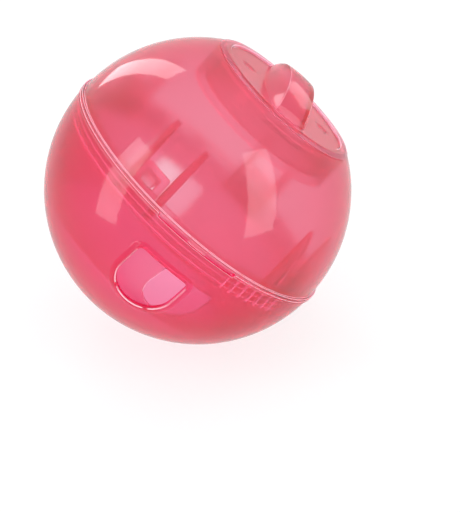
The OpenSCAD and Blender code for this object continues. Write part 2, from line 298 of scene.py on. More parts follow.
class Skin:
    """Grids of points that are welded into one closed mesh."""

    def __init__(self) -> None:
        """Start with no grid."""
        self.points: list[Array] = []
        self.quads: list[Array] = []
        self.marks: list[Array] = []
        self.count = 0

    def add(
        self,
        grid: Array,
        closed_rows: bool = False,
        closed_cols: bool = False,
        keep: Array | None = None,
        marks: Array | None = None,
    ) -> None:
        """Add a grid of points and the quads between its rows and columns.

        Args:
            grid: points by row and column.
            closed_rows: whether the last row joins the first.
            closed_cols: whether the last column joins the first.
            keep: which quads stay, by row and column; all of them if left out.
            marks: 1 for quads that count as edges, by row and column; none if left out.
        """
        rows, cols = grid.shape[:2]
        i = np.arange(rows if closed_rows else rows - 1)[:, None]
        j = np.arange(cols if closed_cols else cols - 1)[None, :]
        i2, j2 = (i + 1) % rows, (j + 1) % cols
        corners = (i * cols + j, i * cols + j2, i2 * cols + j2, i2 * cols + j)
        quads = np.stack(np.broadcast_arrays(*corners), axis=-1)
        stay = np.ones(quads.shape[:2], dtype=bool) if keep is None else keep
        self.quads.append(quads[stay] + self.count)
        self.marks.append((np.zeros(quads.shape[:2]) if marks is None else marks)[stay])
        self.points.append(grid.reshape(-1, 3))
        self.count += rows * cols

    def add_loft(self, rings: Array, edges: Sequence[int] = ()) -> None:
        """Add closed rings that follow each other, with both ends shut by a fan to the middle of the ring.

        Args:
            rings: points by ring and place in the ring.
            edges: places in the ring from which the quads up to the next place count as edges.
        """
        shut = [np.broadcast_to(ring.mean(axis=0), ring.shape)[None] for ring in (rings[0], rings[-1])]
        marks = np.zeros((len(rings) + 1, rings.shape[1]))
        marks[1:-1, list(edges)] = 1.0
        self.add(np.concatenate([shut[0], rings, shut[1]]), closed_cols=True, marks=marks)

    def made(self, name: str, angle: float = 0.0) -> bpy.types.Object:
        """Weld the grids into a smooth mesh object.

        Args:
            name: name of the object.
            angle: turn of all points around the axis.

        Returns:
            The new object, linked to the scene.
        """
        points = turned(np.concatenate(self.points), angle) * MM
        quads = np.concatenate(self.quads)
        mesh = bpy.data.meshes.new(name)
        mesh.vertices.add(len(points))
        mesh.vertices.foreach_set("co", points.astype(np.float32).ravel())
        mesh.loops.add(quads.size)
        mesh.loops.foreach_set("vertex_index", quads.astype(np.int32).ravel())
        mesh.polygons.add(len(quads))
        mesh.polygons.foreach_set("loop_start", np.arange(0, quads.size, 4, dtype=np.int32))
        mesh.update(calc_edges=True)
        marks = np.concatenate(self.marks).astype(np.float32)
        mesh.attributes.new(EDGE, "FLOAT", "FACE").data.foreach_set("value", marks)
        work = bmesh.new()
        work.from_mesh(mesh)
        bmesh.ops.remove_doubles(work, verts=work.verts, dist=WELD)
        bmesh.ops.dissolve_degenerate(work, edges=work.edges, dist=NO_LENGTH)
        bmesh.ops.recalc_face_normals(work, faces=work.faces)
        work.to_mesh(mesh)
        work.free()
        mesh.polygons.foreach_set("use_smooth", np.ones(len(mesh.polygons), dtype=bool))
        mesh.set_sharp_from_angle(angle=SHARP)
        layer = mesh.attributes[EDGE].data
        marks = np.maximum(read(layer, "value", 1, np.float32), edge_share(mesh))
        layer.foreach_set("value", marks.astype(np.float32))
        piece = bpy.data.objects.new(name, mesh)
        bpy.context.scene.collection.objects.link(piece)
        return piece


@dataclass(frozen=True)
class WindowOutline:
    """Window with a straight top and a round lower end, in the plane across and up."""

    height: float
    width: float = 19.2
    drop: float = 11.5
    corner: float = 1.5
    steps: int = 8

    def line(self, spacing: float = 0.05) -> tuple[Array, Array]:
        """Points on the outline and the directions straight out of it, counter-clockwise from the left.

        Args:
            spacing: about how far the points are apart.

        Returns:
            Points and directions.
        """
        half, top = self.width / 2, -self.drop
        mid = half - self.drop - self.height
        c = self.corner

        def bow(x: float, z: float, r: float, start: float, stop: float) -> tuple[Array, Array]:
            """Arc of the outline."""
            a = np.radians(np.linspace(start, stop, max(4, int(r * math.radians(stop - start) / spacing))))
            out = np.stack([np.cos(a), np.sin(a)], axis=-1)
            return np.array([x, z]) + r * out, out

        def side(start: Sequence[float], stop: Sequence[float], out: Sequence[float]) -> tuple[Array, Array]:
            """Straight side of the outline."""
            s = np.linspace(0.0, 1.0, max(4, int(math.dist(start, stop) / spacing)))[1:-1, None]
            return np.asarray(start) * (1 - s) + np.asarray(stop) * s, np.repeat([out], len(s), axis=0)

        parts = [
            bow(0.0, mid, half, 180.0, 360.0),
            side((half, mid), (half, top - c), (1.0, 0.0)),
            bow(half - c, top - c, c, 0.0, 90.0),
            side((half - c, top), (c - half, top), (0.0, 1.0)),
            bow(c - half, top - c, c, 90.0, 180.0),
            side((-half, top - c), (-half, mid), (-1.0, 0.0)),
        ]
        return np.concatenate([p[0] for p in parts]), np.concatenate([p[1] for p in parts])

    def patch(self, across: Array, up: Array, outer_r: float, inner_r: float, edge: Array) -> Array:
        """Grid from a frame on the outer wall over the window's edge to the same frame on the inner wall.

        A point is given in the plane as (x, z) and lies at y = -sqrt(r^2 - x^2 - z^2). Frame points are
        joined to the outline along rays from the window's middle.

        Args:
            across: angles of the frame's columns.
            up: heights of the frame's rows.
            outer_r: radius of the outer wall.
            inner_r: radius of the inner wall.
            edge: rows of (distance out from the outline, radius), from the outer to the inner wall.

        Returns:
            Grid of points, closed along its columns.
        """
        frame_a, frame_z = around(across, up)
        middle = np.array([0.0, -self.drop - self.height / 2])

        def framed(radius: float) -> Array:
            """Frame in the plane, on a wall of a radius."""
            return np.stack([ball_width(radius, frame_z) * np.sin(np.radians(frame_a)), frame_z], axis=-1)

        outer, inner = framed(outer_r), framed(inner_r)
        points, outs = self.line()
        rim = points + edge[0, 0] * outs - middle
        ray = np.arctan2(outer[:, 1] - middle[1], outer[:, 0] - middle[0])
        at = np.arctan2(rim[:, 1], rim[:, 0])
        base, out = (
            np.stack([np.interp(ray, at, values[:, k], period=2 * math.pi) for k in range(2)], axis=-1)
            for values in (points, outs)
        )
        s = np.linspace(1.0, 0.0, self.steps + 1)[:-1, None, None]
        plane = np.concatenate(
            [
                outer * s + (base + edge[0, 0] * out) * (1 - s),
                base + edge[:, 0, None, None] * out,
                inner * s[::-1] + (base + edge[-1, 0] * out) * (1 - s[::-1]),
            ]
        )
        walls = [np.full(self.steps, outer_r), edge[:, 1], np.full(self.steps, inner_r)]
        radius = np.concatenate(walls)[:, None]
        depth = np.sqrt(radius**2 - np.square(plane).sum(axis=-1))
        return np.stack([plane[..., 0], -depth, plane[..., 1]], axis=-1)


@dataclass(frozen=True)
class WindowFrame:
    """Columns and rows that a window's patch takes out of a wall.

    Where the wall's profile changes, the wall keeps its own columns near, and the frame's keep away.
    """

    half: float = 24.0
    steps: int = 56
    near: float = 1.05 * SOFT
    away: float = 1.8 * SOFT

    def angles(self) -> Array:
        """Angles of the frame's columns around its own middle."""
        return np.linspace(-self.half, self.half, self.steps + 1)

    def wall_columns(self, step: float, edges: Sequence[float]) -> Array:
        """Columns of a wall with the frames of both windows let in.

        Args:
            step: step outside the frames.
            edges: angles at which the wall's profile changes.

        Returns:
            Sorted angles.
        """
        plain = columns(step, edges)
        inside = in_sectors(plain, SIDES, self.half + SOFT)
        frames = np.concatenate([self.angles(), (self.angles() + 360.0) % 360.0 - 180.0])
        if len(edges):
            inside &= ~in_sectors(plain, edges, self.near)
            frames = frames[~in_sectors(frames, edges, self.away)]
        return np.unique(np.round(np.concatenate([plain[~inside], frames]), 6))

    def hole(self, angles: Array, heights: Array, low: float, high: float) -> Array:
        """Which quads of a wall's grid lie inside a frame.

        Args:
            angles: angles of the grid's columns.
            heights: heights of the grid's rows.
            low: lower end of the frame.
            high: upper end of the frame.

        Returns:
            True or false by row and column.
        """
        mid_a = angles + ((np.roll(angles, -1) - angles) % 360.0) / 2
        mid_z = (heights[:-1] + heights[1:]) / 2
        rows = (mid_z > low) & (mid_z < high)
        return rows[:, None] & in_sectors(mid_a, SIDES, self.half)[None, :]


# Shading


Value = Union["Sock", float]


class Sock:
    """Output socket of a node, with arithmetic that adds Math nodes."""

    def __init__(self, graph: "Graph", socket: bpy.types.NodeSocket) -> None:
        """Keep the socket and the graph it belongs to."""
        self.graph, self.socket = graph, socket

    def maths(self, operation: str, first: Value, second: Value) -> "Sock":
        """Math node on two values."""
        return self.graph.node("ShaderNodeMath", {"operation": operation}, {0: first, 1: second})

    def __add__(self, other: Value) -> "Sock":
        """Sum."""
        return self.maths("ADD", self, other)

    __radd__ = __add__

    def __mul__(self, other: Value) -> "Sock":
        """Product."""
        return self.maths("MULTIPLY", self, other)

    __rmul__ = __mul__

    def __sub__(self, other: Value) -> "Sock":
        """Difference."""
        return self.maths("SUBTRACT", self, other)

    def __rsub__(self, other: Value) -> "Sock":
        """Difference from a number."""
        return self.maths("SUBTRACT", other, self)

    def above(self, limit: float) -> "Sock":
        """1 where the value is greater than a limit in millimetres."""
        return self.maths("GREATER_THAN", self, limit * MM)

    def below(self, limit: float) -> "Sock":
        """1 where the value is less than a limit in millimetres."""
        return self.maths("LESS_THAN", self, limit * MM)


class Graph:
    """Node tree of a material or of the world."""

    def __init__(self, tree: bpy.types.NodeTree) -> None:
        """Empty the tree."""
        self.tree = tree
        tree.nodes.clear()

    def node(
        self,
        kind: str,
        settings: dict | None = None,
        inputs: dict | None = None,
        output: int | str = 0,
    ) -> Sock:
        """Add a node.

        Args:
            kind: type name of the node.
            settings: properties, set first.
            inputs: numbers, colours or sockets by the name or number of the input.
            output: name or number of the output that is returned.

        Returns:
            The output socket, which is empty for an output node.
        """
        made = self.tree.nodes.new(kind)
        for key, value in (settings or {}).items():
            setattr(made, key, value)
        for key, value in (inputs or {}).items():
            if isinstance(value, Sock):
                self.tree.links.new(value.socket, made.inputs[key])
            else:
                made.inputs[key].default_value = value
        return Sock(self, made.outputs[output] if len(made.outputs) else None)


class Spot:
    """Place on a piece in the CAD frame: its distances from the ball's middle and axis, and its height."""

    def __init__(self, graph: Graph) -> None:
        """Add the nodes that measure the place.

        Args:
            graph: graph of the material.
        """
        self.place = graph.node("ShaderNodeTexCoord", output="Object")
        level = {0: self.place, 1: (1.0, 1.0, 0.0)}
        flat = graph.node("ShaderNodeVectorMath", {"operation": "MULTIPLY"}, level)
        self.middle, self.axis = (
            graph.node("ShaderNodeVectorMath", {"operation": "LENGTH"}, {0: way}, output="Value")
            for way in (self.place, flat)
        )
        self.height = graph.node("ShaderNodeSeparateXYZ", {}, {0: self.place}, output="Z")


@dataclass(frozen=True)
class ClearPlastic:
    """Clear coloured moulded plastic: glossy, a little hazy, with faint flow streaks and fine scuffs.

    Its faces carry a tint, and the body soaks up more colour the longer the way through it. Rounded edges
    are partly frosted and get a paler tint, which is a painted highlight for the light lines they catch.
    """

    name: str
    colour: Colour
    streak: Colour
    where: Deep = Deep.NOWHERE
    deep: Colour = (0.93, 0.04, 0.22)
    pale: Colour = (0.98, 0.90, 0.93)
    soak: Colour = (7.0, 188.0, 133.0)
    clear: float = 0.96
    ior: float = 1.06
    roughness: float = 0.38
    flow_scale: float = 34.0
    flow_haze: float = 0.08
    fine_scale: float = 900.0
    fine_haze: float = 0.05
    coat: float = 0.7
    coat_roughness: float = 0.07
    gloss_from: float = 50.2
    gloss_to: float = 51.1
    gloss_inside: float = 0.1
    gloss_loss: float = 0.6
    # Painted highlight: paler tint laid on rounded edges for the light lines they catch; the frost below it
    # is real roughness
    edge: Colour = (1.0, 0.68, 0.79)
    edge_share: float = 0.7
    edge_roughness: float = 0.45
    edge_ior: float = 1.3

    def deeper(self, spot: Spot) -> Value:
        """1 where the deeper colour shows, a share of it on a window's lip, and 0 elsewhere.

        Args:
            spot: place on the piece.

        Returns:
            The mask.
        """
        if self.where is Deep.CUTS:
            lip = spot.middle.above(LIP_FROM) * spot.height.below(LIP_TOP) * LIP_SHARE
            return spot.middle.above(CUT_FROM) * spot.middle.below(CUT_TO) + lip
        if self.where is Deep.TONGUES:
            return spot.height.above(TONGUE_FROM)
        if self.where is Deep.FINS:
            return spot.middle.below(FIN_BALL) * spot.axis.below(FIN_AXIS) * spot.height.below(FIN_TOP)
        return 0.0

    def paler(self, spot: Spot) -> Value:
        """1 on the thin collar around the filling neck and 0 elsewhere.

        Args:
            spot: place on the piece.

        Returns:
            The mask.
        """
        if self.where is not Deep.FINS:
            return 0.0
        return spot.axis.below(COLLAR_AXIS) * spot.height.below(COLLAR_TOP)

    def gloss(self, spot: Spot) -> Sock:
        """1 on the polished outside, little inside, and less on what stands proud of the outside."""
        out, proud = spot.middle.above(self.gloss_from), spot.middle.above(self.gloss_to)
        return self.gloss_inside + out * (1 - self.gloss_inside) - proud * self.gloss_loss

    def material(self) -> bpy.types.Material:
        """Build the material.

        Returns:
            The material.
        """
        material = bpy.data.materials.new(self.name)
        material.use_nodes = True
        graph = Graph(material.node_tree)
        spot = Spot(graph)
        streaks = {"Vector": spot.place, "Scale": self.flow_scale, "Detail": 2.0, "Distortion": 0.6}
        scuffs = {"Vector": spot.place, "Scale": self.fine_scale, "Detail": 2.0}
        flow, fine = (graph.node("ShaderNodeTexNoise", {}, inputs) for inputs in (streaks, scuffs))
        at_edge = graph.node("ShaderNodeAttribute", {"attribute_name": EDGE}, output="Fac")
        tint = (*self.colour, 1.0)
        # The last mix paints the paler edge tint on rounded edges: a painted highlight
        for share, colour in (
            (flow, self.streak),
            (self.deeper(spot), self.deep),
            (self.paler(spot), self.pale),
            (at_edge, self.edge),
        ):
            mixed = {0: share, 6: tint, 7: (*colour, 1.0)}
            tint = graph.node("ShaderNodeMix", {"data_type": "RGBA"}, mixed, output=2)
        relief = {"Strength": 0.02, "Distance": 0.0004, "Height": fine + flow * 2.0}
        shader = graph.node(
            "ShaderNodeBsdfPrincipled",
            {},
            {
                "Base Color": tint,
                "Roughness": self.roughness + (flow - 0.5) * self.flow_haze + (fine - 0.5) * self.fine_haze,
                "Normal": graph.node("ShaderNodeBump", {}, relief),
                "IOR": self.ior,
                "Transmission Weight": self.clear,
                "Coat Weight": self.gloss(spot) * self.coat,
                "Coat Roughness": self.coat_roughness,
            },
        )
        # Frost on rounded edges is lit by the lamps, but its pale colour is the painted highlight tint
        frost = graph.node(
            "ShaderNodeBsdfPrincipled",
            {},
            {"Base Color": (*self.edge, 1.0), "Roughness": self.edge_roughness, "IOR": self.edge_ior},
        )
        surface = graph.node("ShaderNodeMixShader", {}, {0: at_edge * self.edge_share, 1: shader, 2: frost})
        density = max(self.soak)
        passed = (*(1 - value / density for value in self.soak), 1.0)
        body = graph.node("ShaderNodeVolumeAbsorption", {}, {"Color": passed, "Density": density})
        graph.node("ShaderNodeOutputMaterial", {}, {"Surface": surface, "Volume": body})
        return material


# Pieces


@dataclass
class Part:
    """Sub-assembly that stands for one CAD node."""

    finish: ClearPlastic
    body: Body
    slot: Plastic
    node: str

    def dress(self, piece: bpy.types.Object) -> bpy.types.Object:
        """Give a piece its finish and body, and hide its CAD node.

        Args:
            piece: finished mesh object.

        Returns:
            The same object.
        """
        piece.data.materials.append(self.finish.material())
        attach(piece, self.body.value)
        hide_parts(self.node)
        LOG.info("%s: %d faces, rides on %s", piece.name, len(piece.data.polygons), self.body.value)
        return piece


@dataclass
class WindowedPart(Part):
    """Part with a ball's wall and a window on each side of it."""

    outer_r: float = 51.0
    inner_r: float = 49.0
    window: WindowOutline = WindowOutline(height=18.9)
    frame: WindowFrame = WindowFrame()
    frame_low: float = -36.5
    frame_high: float = -6.9
    frame_rows: int = 33
    step: float = 1.2

    def frame_heights(self) -> Array:
        """Heights of the rows inside the frames.

        Returns:
            Heights from the lower to the upper end of the frames, at even steps of latitude.
        """
        heights = ball_arc(self.outer_r, self.frame_low, self.frame_high, self.frame_rows)[:, 1]
        heights[[0, -1]] = self.frame_low, self.frame_high
        return heights

    def add_windows(self, skin: Skin, angles: Array, edge: Array) -> None:
        """Add the patches of both windows.

        Args:
            skin: skin that has the wall with the frames left open.
            angles: angles of the wall's columns.
            edge: section of the window's edge, as rows of (distance out from the outline, radius).
        """
        across = angles[in_sectors(angles, [0.0], self.frame.half + 0.01)]
        patch = self.window.patch(across, self.frame_heights(), self.outer_r, self.inner_r, edge)
        for side in SIDES:
            skin.add(turned(patch, side), closed_cols=True)


@dataclass
class UpperHalf(Part):
    """Upper half shell with neck, lapping skirt, stop tabs, click nibs, latch fins and catches."""

    outer_r: float = 50.7
    outer_rows: int = 48
    inner_r: float = 48.7
    inner_rows: int = 42
    step: float = 1.5
    flange_r: float = 51.5
    flange_low: float = 1.05
    flange_high: float = 1.95
    neck_z: float = 42.268
    ledge_r: float = 25.2
    ledge_h: float = 2.2
    collar_r: float = 26.35
    collar_out_r: float = 27.55
    collar_low: float = 29.768
    entry_angle: float = -8.0
    entry_half: float = 17.54
    entry_relief: float = 0.2
    skirt_r: float = 48.112
    skirt_in_r: float = 46.612
    skirt_low: float = -5.3
    root_top: float = 2.65
    bead_r: float = 1.15
    bead_z: float = -3.85
    bead_rows: int = 13
    nib_angle: float = 22.5
    nib_half: float = 0.834
    nib_low: float = -2.4
    nib_high: float = -0.4
    nib_proud: float = 0.3
    tab_angle: float = -10.0
    tab_half: float = 3.935
    tab_low: float = -0.15
    tab_in_r: float = 49.3
    tab_r: float = 51.0
    fin_spread: float = 9.0
    fin_t: float = 2.2
    fin_in_r: float = 42.8
    fin_round: float = 0.4
    fin_inset: float = 0.15
    catch_w: float = 5.1
    catch_in_r: float = 44.46
    catch_low: float = 2.45
    catch_top: float = 6.15

    def profile(self, entry: bool = False, tab: bool = False, nib: bool = False) -> Array:
        """Closed wall profile, from the flange up the outer wall and back down the inside.

        Args:
            entry: with a gap for a bayonet lug in the ledge.
            tab: with a stop tab under the flange.
            nib: with a click nib on the skirt.

        Returns:
            Array of (radius, height) points.
        """
        ledge_low = self.neck_z - self.ledge_h
        outer = ball_arc(self.outer_r, self.flange_high, self.neck_z, self.outer_rows)
        inner_top = math.sqrt(self.inner_r**2 - self.collar_out_r**2)
        inner = ball_arc(self.inner_r, inner_top, self.root_top, self.inner_rows)
        if entry:
            cut_r = self.collar_r + self.entry_relief
            neck = [(cut_r, self.neck_z), (cut_r, ledge_low - 1), (self.collar_r, ledge_low - 1)]
        else:
            neck = [(self.ledge_r, self.neck_z), (self.ledge_r, ledge_low), (self.collar_r, ledge_low)]
        swell = np.radians(np.linspace(-90.0, 90.0, self.bead_rows))
        ring = self.bead_r * np.stack([np.cos(swell), np.sin(swell)], axis=-1)
        bead = np.array([self.skirt_r, self.bead_z]) + ring
        nib_r = self.skirt_r + (self.nib_proud if nib else 0.0)
        under = self.tab_low if tab else self.flange_low
        corners = [
            (outer, [0.12, *np.zeros(len(outer) - 2), 0.45]),
            (neck, [0.3, 0.2, 0.1]),
            ([(self.collar_r, self.collar_low), (self.collar_out_r, self.collar_low)], [0.4, 0.4]),
            (inner, [0.3, *np.zeros(len(inner) - 2), 0.3]),
            ([(self.skirt_in_r, self.root_top), (self.skirt_in_r, self.skirt_low)], [0.3, 0.4]),
            ([(self.skirt_r, self.skirt_low)], [0.3]),
            (bead, np.zeros(len(bead))),
            (
                [
                    (self.skirt_r, self.nib_low - 0.08),
                    (nib_r, self.nib_low),
                    (nib_r, self.nib_high),
                    (self.skirt_r, self.nib_high + 0.08),
                    (self.skirt_r, self.flange_low),
                ],
                [0.0, 0.05, 0.05, 0.0, 0.2],
            ),
            (
                [
                    (self.tab_in_r - 0.05, self.flange_low),
                    (self.tab_in_r, under),
                    (self.tab_r, under),
                    (self.tab_r + 0.05, self.flange_low),
                ],
                [0.0, 0.15, 0.15, 0.0],
            ),
            ([(self.flange_r, self.flange_low), (self.flange_r, self.flange_high)], [0.25, 0.3]),
        ]
        points = np.concatenate([np.asarray(c, float) for c, _ in corners])
        return softened(points, [r for _, part in corners for r in part], closed=True)

    def wall(self) -> Array:
        """Wall grid: the profile turned around the axis, changed in the sectors of entries, tabs and nibs.

        Returns:
            Grid of points, closed both ways.
        """
        sectors = [
            (self.entry_angle, self.entry_half, self.profile(entry=True)),
            (self.tab_angle, self.tab_half, self.profile(tab=True)),
            (self.nib_angle, self.nib_half, self.profile(nib=True)),
        ]
        edges = [side + middle + s * half for side in SIDES for middle, half, _ in sectors for s in (-1, 1)]
        angles = columns(self.step, edges)
        plain = self.profile()
        line = np.repeat(plain[:, None], len(angles), axis=1)
        for middle, half, changed in sectors:
            mask = soft_sectors(angles, [middle + side for side in SIDES], half)
            line = line + (changed - plain)[:, None] * mask[None, :, None]
        return polar(line[..., 0], angles[None], line[..., 1])

    def fin(self) -> Array:
        """Fin at -Y: a plate with a rounded inner edge, from the skirt's edge up to where the wall meets it.

        Returns:
            Closed rings from the bottom to the top.
        """
        top = math.sqrt(self.inner_r**2 - self.fin_in_r**2)
        z = np.concatenate(
            [
                [self.skirt_low, self.skirt_low + SOFT],
                np.linspace(self.skirt_low + 1, self.root_top - CLEAR, 6),
                np.linspace(self.root_top + CLEAR, top - 0.3, 26),
            ]
        )
        half = self.fin_t / 2
        turn = np.radians(np.linspace(0.0, 90.0, 5))
        bend_x, bend_r = half - self.fin_round * (1 - np.cos(turn)), self.fin_round * (1 - np.sin(turn))
        x = np.array([half, half, half, *bend_x, *-bend_x[::-1], -half, -half, -half])
        q = np.array([1.0, 0.93, 0.5, *[0.0] * 10, 0.5, 0.93, 1.0])
        bend = np.array([0.0, 0.0, 0.0, *bend_r, *bend_r[::-1], 0.0, 0.0, 0.0])
        wall_r = np.sqrt((self.inner_r - CLEAR) ** 2 - z[:, None] ** 2 - x[None] ** 2)
        skirt = np.sqrt((self.skirt_in_r - CLEAR) ** 2 - x[None] ** 2)
        depth = np.where(z[:, None] < self.root_top, skirt, wall_r) - self.fin_in_r
        r = self.fin_in_r + q[None] * depth + bend[None] * np.minimum(depth / 1.2, 1.0)
        inset = np.where(np.arange(len(z)) == 0, self.fin_inset, 0.0)[:, None]
        r = r + inset * (1 - q)[None]
        return np.stack(np.broadcast_arrays(x[None] * (1 - inset / half), -r, z[:, None]), axis=-1)

    def catch(self) -> Array:
        """Catch at -Y: flat on top, sloped below, carried across its width.

        Returns:
            Closed rings from one end to the other.
        """
        middle = (self.catch_low + self.catch_top) / 2
        far, near = self.inner_r, self.catch_in_r
        low, top = self.catch_low, self.catch_top
        shape = np.array([(far, low), (near, middle), (near, top), (far, top)])
        line = softened(shape, [0.0, 0.3, 0.3, 0.0], closed=True)
        x = np.linspace(-self.catch_w / 2, self.catch_w / 2, 5)
        gx, gz = np.broadcast_arrays(x[:, None], line[None, :, 1])
        r = np.minimum(line[None, :, 0], np.sqrt((self.inner_r - CLEAR) ** 2 - gx**2 - gz**2))
        return np.stack([gx, -r, gz], axis=-1)

    def build(self) -> bpy.types.Object:
        """Make the upper half.

        Returns:
            The dressed piece.
        """
        wall = self.wall()
        low = np.maximum(wall[..., 2], np.roll(wall[..., 2], -1, axis=0)) < self.skirt_low + SOFT
        skin = Skin()
        skin.add(wall, closed_rows=True, closed_cols=True, marks=low)
        for latch in LATCHES:
            skin.add_loft(turned(self.catch(), latch))
            for s in (-1, 1):
                skin.add_loft(turned(self.fin(), latch + s * self.fin_spread), edges=(0, -2))
        return self.dress(skin.made("upper_half"))


@dataclass
class LowerHalf(WindowedPart):
    """Lower half shell with two lipped windows, rim flange, snap groove, stop notches and click pockets."""

    pole_rows: int = 21
    wall_top: float = -0.95
    flange_r: float = 51.5
    flange_low: float = -0.15
    flange_high: float = 0.75
    rest_turn: float = -13.5
    lip_w: float = 2.6
    lip_proud: float = 0.8
    lip_round: float = 0.75
    groove_r: float = 48.112
    groove_z: float = -3.85
    groove_size: float = 1.25
    groove_half: float = 1.06
    notch_angle: float = 3.5
    notch_half: float = 17.6
    notch_z: float = -0.55
    pocket_angles: tuple[float, ...] = tuple(22.5 + 4.5 * k for k in range(7))
    pocket_half: float = 1.278
    pocket_low: float = -6.2
    pocket_high: float = -0.4
    pocket_r: float = 49.6

    def pocket_rows(self, z: Array) -> Array:
        """1 at the heights of the click pockets and 0 above and below, with smooth ramps."""
        low = smooth_step(z, self.pocket_low - SOFT, self.pocket_low + SOFT)
        return low * (1 - smooth_step(z, self.pocket_high - SOFT, self.pocket_high + SOFT))

    def profile(self, notch: bool = False, pocket: bool = False) -> tuple[Array, int]:
        """Wall profile from the pole up the outer wall, over the rim and down the inner wall to the pole.

        Heights that are written as numbers only set where rows of points lie.

        Args:
            notch: with the rim cut down for a stop tab.
            pocket: with a click pocket in the inner wall.

        Returns:
            Array of (radius, height) points, and the number of points before the inner wall.
        """
        below = ball_arc(self.outer_r, -self.outer_r, self.frame_low, self.pole_rows)[:-1, 1]
        inside = self.frame_heights()
        above = np.linspace(self.frame_high, self.wall_top, 7)[1:]
        z_out = np.concatenate([below, inside, above])
        outer = np.stack([ball_width(self.outer_r, z_out), z_out], axis=-1)
        if notch:
            z_rim = np.array([-0.82, -0.68, self.notch_z, self.notch_z])
            r_rim = np.array([*ball_width(self.outer_r, z_rim[:3]), ball_width(self.inner_r, self.notch_z)])
            start = np.linspace(-0.58, -0.72, 2 + len(ACROSS))
        else:
            top_r = ball_width(self.inner_r, self.flange_high)
            z_rim = np.repeat([self.flange_low, self.flange_high], 2)
            r_rim = np.array([self.outer_r, self.flange_r, self.flange_r, top_r])
            start = np.array([0.3, -0.1, *(self.pocket_high - SOFT * ACROSS)])
        corners = [outer[-1], *zip(r_rim, z_rim), (ball_width(self.inner_r, start[0]), start[0])]
        rim = softened(np.array(corners), [0.0, 0.1, 0.3, 0.3, 0.25, 0.0])[1:-1]
        hollow = np.linspace(self.groove_z + self.groove_half, self.groove_z - self.groove_half, 13)
        z_in = np.concatenate(
            [
                start,
                [-1.0, -1.6, -2.2, hollow[0] + SOFT],
                hollow,
                [hollow[-1] - SOFT, -5.5, -5.8, *(self.pocket_low - SOFT * ACROSS)],
                inside[::-1],
                ball_arc(self.inner_r, self.frame_low, -self.inner_r, self.pole_rows)[1:, 1],
            ]
        )
        r_in = ball_width(self.inner_r, z_in)
        in_hollow = np.abs(z_in - self.groove_z) < self.groove_size
        drop = np.where(in_hollow, z_in - self.groove_z, self.groove_size)
        groove = np.where(in_hollow, self.groove_r + np.sqrt(self.groove_size**2 - drop**2), 0.0)
        r_in = np.maximum(r_in, groove)
        if pocket:
            r_in = r_in + self.pocket_rows(z_in) * np.maximum(self.pocket_r - r_in, 0.0)
        inner = np.stack([r_in, z_in], axis=-1)
        return np.concatenate([outer, rim, inner]), len(outer) + len(rim)

    def edge(self) -> Array:
        """Section of the window's edge: a lip that swells out, its crest, the cut and a soft inner edge.

        Returns:
            Rows of (distance out from the outline, radius).
        """
        t = np.linspace(0.0, 1.0, 11)
        away = self.lip_w * (1 - t) + self.lip_round * t
        swell = self.lip_proud * smooth_step(t, 0.0, 1.0)
        turn = np.radians(np.linspace(90.0, 0.0, 8)[1:])
        top = self.outer_r + self.lip_proud
        crest = np.stack([1 - np.cos(turn), np.sin(turn) - 1], axis=-1) * self.lip_round + (0.0, top)
        cut = [(0.0, self.inner_r + 1.4), (0.0, self.inner_r + 0.8), *(SOFT_CUT + (0.0, self.inner_r))]
        return np.concatenate([np.stack([away, self.outer_r + swell], axis=-1), crest, cut])

    def build(self) -> bpy.types.Object:
        """Make the lower half, turned to rest halfway between shut and open.

        Returns:
            The dressed piece.
        """
        notches = [self.notch_angle + side for side in SIDES]
        pockets = [a + side for side in SIDES for a in self.pocket_angles]
        edges = [m + s * self.notch_half for m in notches for s in (-1, 1)]
        edges += [m + s * self.pocket_half for m in pockets for s in (-1, 1)]
        angles = self.frame.wall_columns(self.step, edges)
        plain, inner_start = self.profile()
        line = np.repeat(plain[:, None], len(angles), axis=1)
        for middles, half, changed in (
            (notches, self.notch_half, self.profile(notch=True)[0]),
            (pockets, self.pocket_half, self.profile(pocket=True)[0]),
        ):
            line = line + (changed - plain)[:, None] * soft_sectors(angles, middles, half)[None, :, None]
        hole = self.frame.hole(angles, plain[:, 1], self.frame_low, self.frame_high)
        rows = np.where(np.arange(len(plain)) < inner_start, 0.0, self.pocket_rows(plain[:, 1]))
        sunk = rows[:, None] * soft_sectors(angles, pockets, self.pocket_half)[None]
        after = np.roll(sunk, -1, axis=1)
        sides = np.ptp(np.stack([sunk[:-1], sunk[1:], after[:-1], after[1:]]), axis=0) > 0.04
        off = np.abs((plain[:-1, 1] + plain[1:, 1]) / 2 - self.groove_z) - self.groove_half
        brink = (np.arange(len(off)) >= inner_start) & (off > 0.0) & (off < SOFT)
        wall = polar(line[..., 0], angles[None], line[..., 1])
        skin = Skin()
        skin.add(wall, closed_cols=True, keep=~hole, marks=sides | brink[:, None])
        self.add_windows(skin, angles, self.edge())
        return self.dress(skin.made("lower_half", self.rest_turn))


